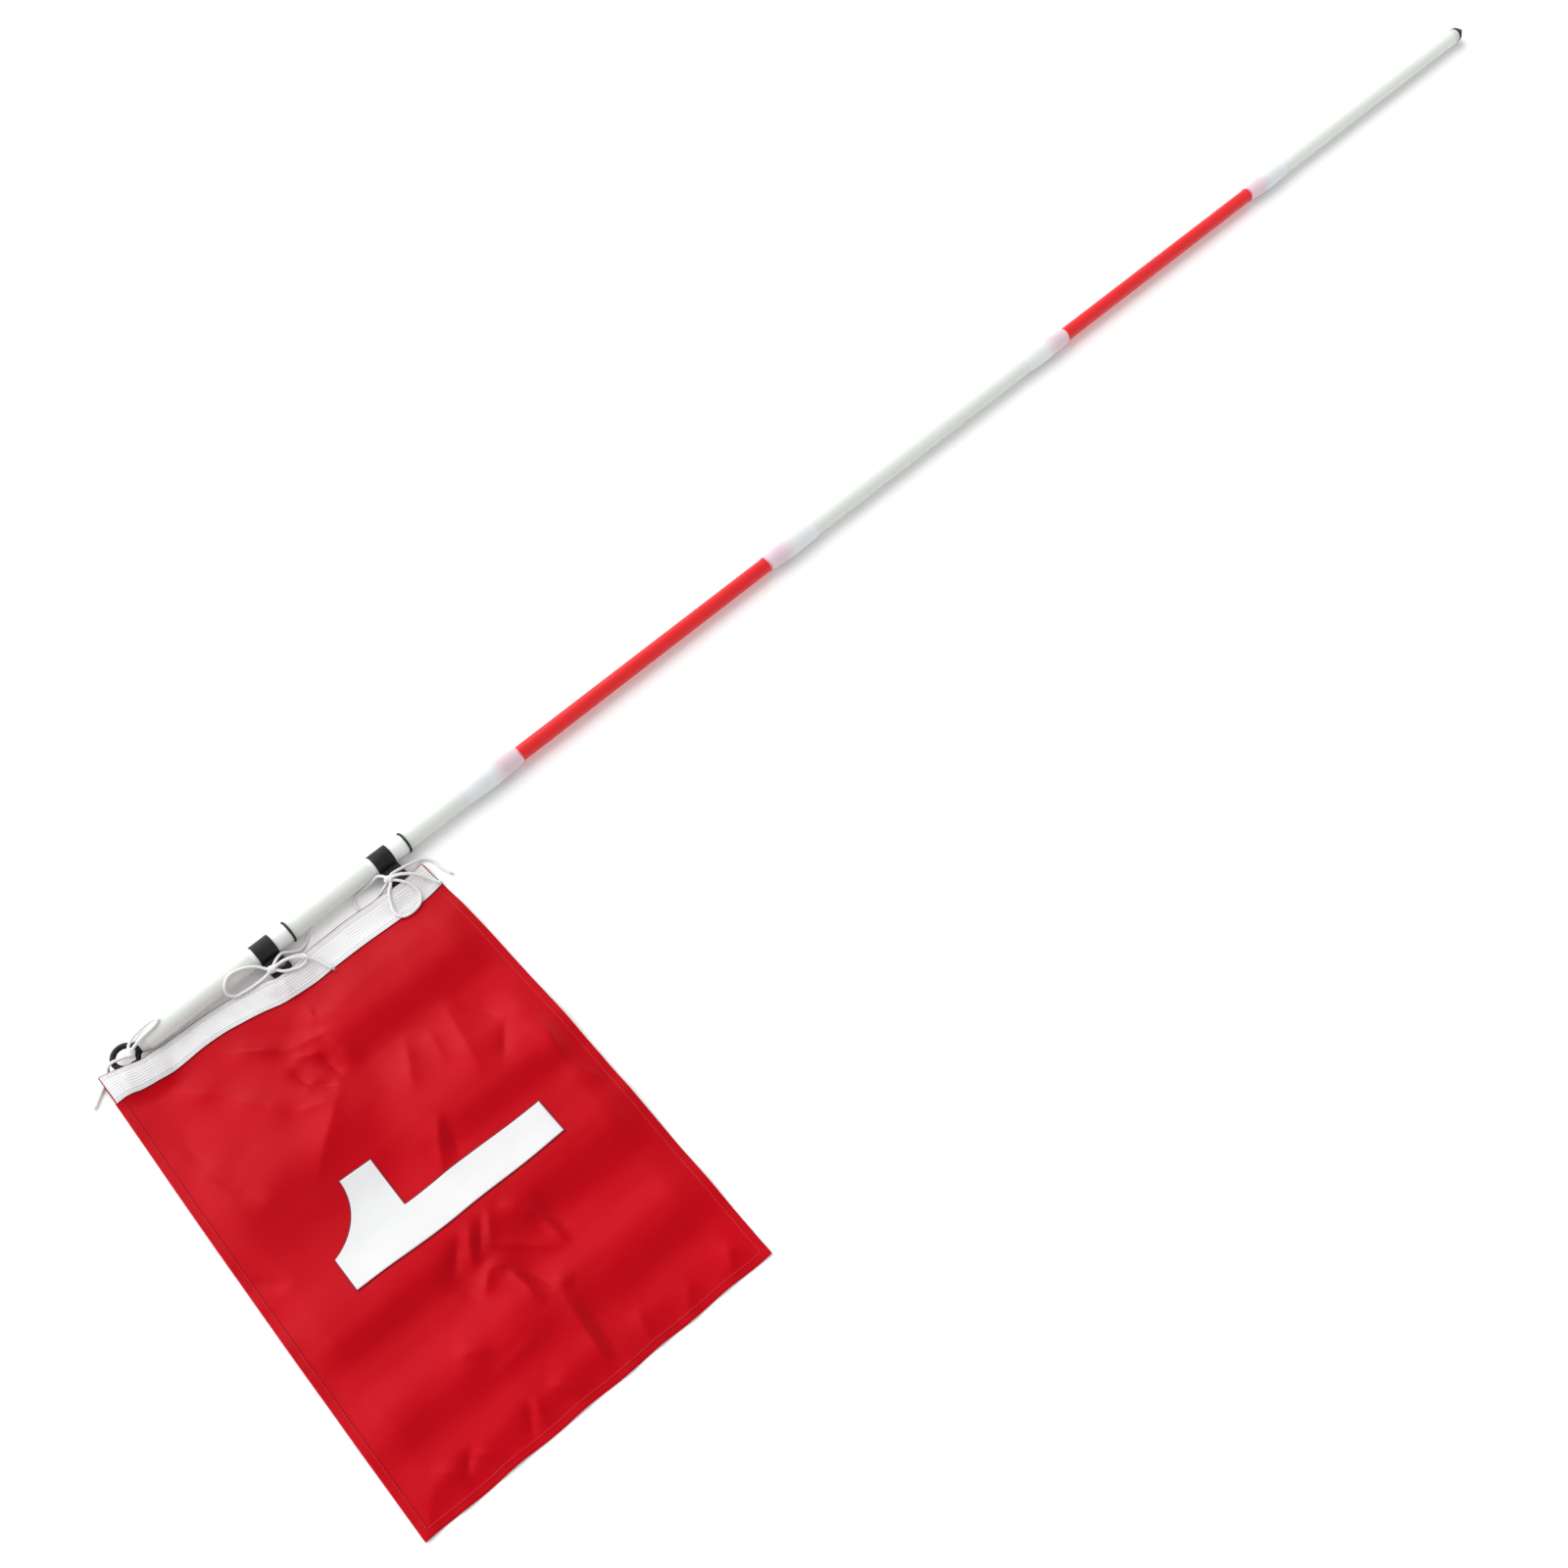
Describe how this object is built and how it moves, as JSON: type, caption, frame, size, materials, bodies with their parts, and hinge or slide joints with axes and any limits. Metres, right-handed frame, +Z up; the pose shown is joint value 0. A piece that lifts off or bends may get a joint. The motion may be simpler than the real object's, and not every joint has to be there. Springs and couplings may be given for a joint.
{
  "type": "golf flagstick",
  "caption": "Take-apart golf flagstick with push-together tubes, a pointed ground end and a tied nylon flag that turns freely about the pole.",
  "frame": {"origin": "on the pole's axis, at the open end of the tube that stands in the ground, where the white shoulder starts", "axes": "+X along the pole towards the ground end, the flag lies towards -Y, +Z up from the surface the pole and flag lie on"},
  "size_m": [2.141, 0.544, 0.0242],
  "materials": {
    "white_tube": "satin white lacquer",
    "red_tube": "glossy red lacquer",
    "coupler_plastic": "milky translucent moulding",
    "plug_plastic": "satin white moulding",
    "bush_plastic": "satin bluish white sleeve",
    "black_plastic": "satin black moulding",
    "black_rubber": "dull black",
    "washer_steel": "plain sprung steel",
    "flag_nylon": "shiny red nylon",
    "header_canvas": "white ribbed tape",
    "numeral_nylon": "white sewn nylon",
    "cord": "white twisted cord"
  },
  "bodies": {
    "section_5": {"tube_5": "white_tube", "coupler_4": "coupler_plastic", "tip_ferrule": "plug_plastic", "ground_point": "black_plastic"},
    "section_4": {"tube_4": "red_tube"},
    "section_3": {"coupler_3": "coupler_plastic", "tube_3": "white_tube", "coupler_2": "coupler_plastic"},
    "section_2": {"tube_2": "red_tube"},
    "section_1": {"tube_1": "white_tube", "coupler_1": "coupler_plastic", "top_plug": "plug_plastic"},
    "flag_set": {"top_eye": "black_plastic", "eye_retainer": "washer_steel", "bush_mid": "bush_plastic", "clip_mid": "black_plastic", "bush_low": "bush_plastic", "clip_low": "black_plastic", "flag_cloth": "flag_nylon", "header_tape": "header_canvas", "number_patch": "numeral_nylon", "tie_top": "cord", "tie_mid": "cord", "tie_low": "cord"},
    "ring_mid": {"o_ring_mid": "black_rubber"},
    "ring_low": {"o_ring_low": "black_rubber"}
  },
  "joints": [
    {"name": "pull_joint_4", "type": "slide", "parent": "section_5", "child": "section_4", "axis": [-1, 0, 0], "range_m": [0, 0.034]},
    {"name": "pull_joint_3", "type": "slide", "parent": "section_4", "child": "section_3", "axis": [-1, 0, 0], "range_m": [0, 0.034]},
    {"name": "pull_joint_2", "type": "slide", "parent": "section_3", "child": "section_2", "axis": [-1, 0, 0], "range_m": [0, 0.034]},
    {"name": "pull_joint_1", "type": "slide", "parent": "section_2", "child": "section_1", "axis": [-1, 0, 0], "range_m": [0, 0.034]},
    {"name": "flag_swivel", "type": "hinge", "parent": "section_1", "child": "flag_set", "pos_m": [-2.036, 0, 0], "axis": [-1, 0, 0], "continuous": true},
    {"name": "ring_mid_slide", "type": "slide", "parent": "section_1", "child": "ring_mid", "axis": [1, 0, 0], "range_m": [0, 0.03]},
    {"name": "ring_low_slide", "type": "slide", "parent": "section_1", "child": "ring_low", "axis": [1, 0, 0], "range_m": [0, 0.03]}
  ]
}
